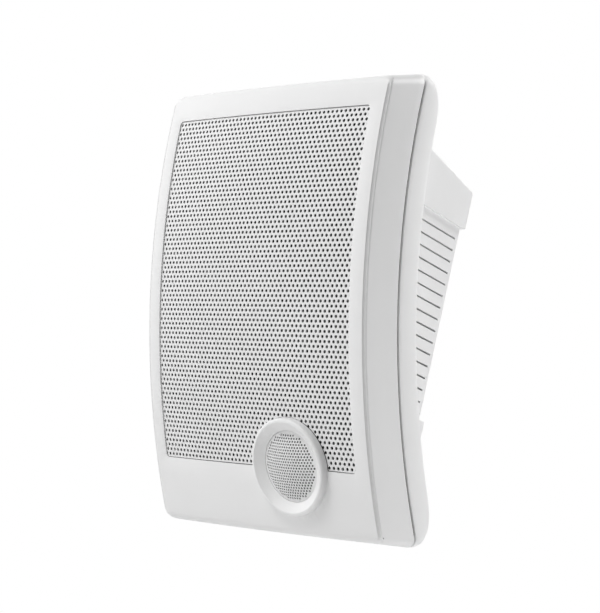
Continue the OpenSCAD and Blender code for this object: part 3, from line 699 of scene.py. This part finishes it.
quarter = np.linspace(0, math.pi / 2, 11)
shell_loops = [shell_loop(HALF_W - inset, SEAM_HALF_H - inset, CORNER_R, SHELL_D + LIP_R / 4 * k)
               for k, inset in enumerate((LIP_R, LIP_R / 4))]
shell_loops += [rim_loop(a) for a in quarter]
shell_loops += [shell_loop(*OPENING, OPENING_R, d) for d in (BACK_D, BACK_D - WALL)]
shell_loops += [rim_loop(a, WALL) for a in quarter[::-1]]
shell_loops.append(shell_loop(HALF_W - WALL, SEAM_HALF_H - WALL, CORNER_R, SHELL_D))
verts, faces = joined(lofted(shell_loops, closed=True))
bore_floor = bow_at(CASE_SCREW[1], BACK_D) - BORE_DEPTH
bores = [(sx * CASE_SCREW[0], bore_floor, sz * CASE_SCREW[1], BORE_R) for sx in (-1, 1) for sz in (-1, 1)]
verts, faces = bored(verts, faces, bores)
new_piece("shell", on_wall(verts), faces, "shell_plastic", "rear_shell", 35)


# Camera of the photograph

def turned(vector):
    """A direction of the cabinet's frame, leaned as the cabinet is."""
    return Matrix.Rotation(TILT, 3, "X") @ vector


back = Vector((math.sin(CAM_AZ) * math.cos(CAM_EL), -math.cos(CAM_AZ) * math.cos(CAM_EL), math.sin(CAM_EL)))
right = Vector((math.cos(CAM_AZ), math.sin(CAM_AZ), 0))
up = back.cross(right)
right_rolled = math.cos(CAM_ROLL) * right + math.sin(CAM_ROLL) * up
up_rolled = -math.sin(CAM_ROLL) * right + math.cos(CAM_ROLL) * up
eye = Vector(on_wall(CAM_TARGET + CAM_DIST * back)[0])
axes = Matrix([turned(right_rolled), turned(up_rolled), turned(back)]).transposed()
lens = bpy.data.cameras.new("camera")
lens.lens = CAM_LENS
lens.sensor_width = 36
lens.clip_end = 20
camera = bpy.data.objects.new("camera", lens)
camera.matrix_world = Matrix.Translation(eye) @ axes.to_4x4()
bpy.context.scene.collection.objects.link(camera)
bpy.context.scene.camera = camera


# Studio

def softbox(name, place, size, watts):
    """Soft area light at a place, turned to the speaker."""
    light = bpy.data.lights.new(name, "AREA")
    light.shape = "RECTANGLE"
    light.size, light.size_y = size
    light.energy = watts
    lamp = bpy.data.objects.new(name, light)
    lamp.location = place
    lamp.rotation_euler = (Vector(AIM) - Vector(place)).to_track_quat("-Z", "Y").to_euler()
    bpy.context.scene.collection.objects.link(lamp)


softbox("key", (-0.3, -1.6, 1.4), (1.0, 0.8), 26)
softbox("low_fill", (0, -0.8, -0.35), (0.6, 0.3), 0.7)
softbox("left_fill", (-0.9, -0.4, 0.1), (0.5, 0.8), 1.0)
softbox("rear_right", (0.85, 0.55, -0.15), (0.5, 0.8), 4.4)
softbox("rear_top", (0.38, 0.52, 0.8), (0.5, 0.5), 7)

world = bpy.data.worlds.new("studio")
bpy.context.scene.world = world
world.use_nodes = True
sky = world.node_tree
background = sky.nodes["Background"]
background.inputs["Color"].default_value = (1, 1, 1, 1)
way = Wire(sky).node("ShaderNodeTexCoord", output="Generated")
side = way.node("ShaderNodeSeparateXYZ", (), {0: way}, "X")
seen = way.node("ShaderNodeLightPath", output="Is Camera Ray")
glow = side.maths("MAXIMUM", side * -SIDE_GLOW, 0.0)
shown = seen + (1 - seen) * glow
sky.links.new(shown.out, background.inputs["Strength"])

floor_mesh = bpy.data.meshes.new("floor")
far, rear = FLOOR_REACH, FLOOR_BACK
corners = [(x, y, FLOOR_Z) for x, y in ((-far, -far), (far, -far), (far, rear), (-far, rear))]
floor_mesh.from_pydata(corners, [], [(0, 1, 2, 3)])
floor_mesh.materials.append(material("floor_paint", (0.8, 0.8, 0.8), 0.8, "fine", 2.0, 0.01))
floor = bpy.data.objects.new("floor", floor_mesh)
bpy.context.scene.collection.objects.link(floor)
bpy.context.scene.view_settings.view_transform = "Standard"
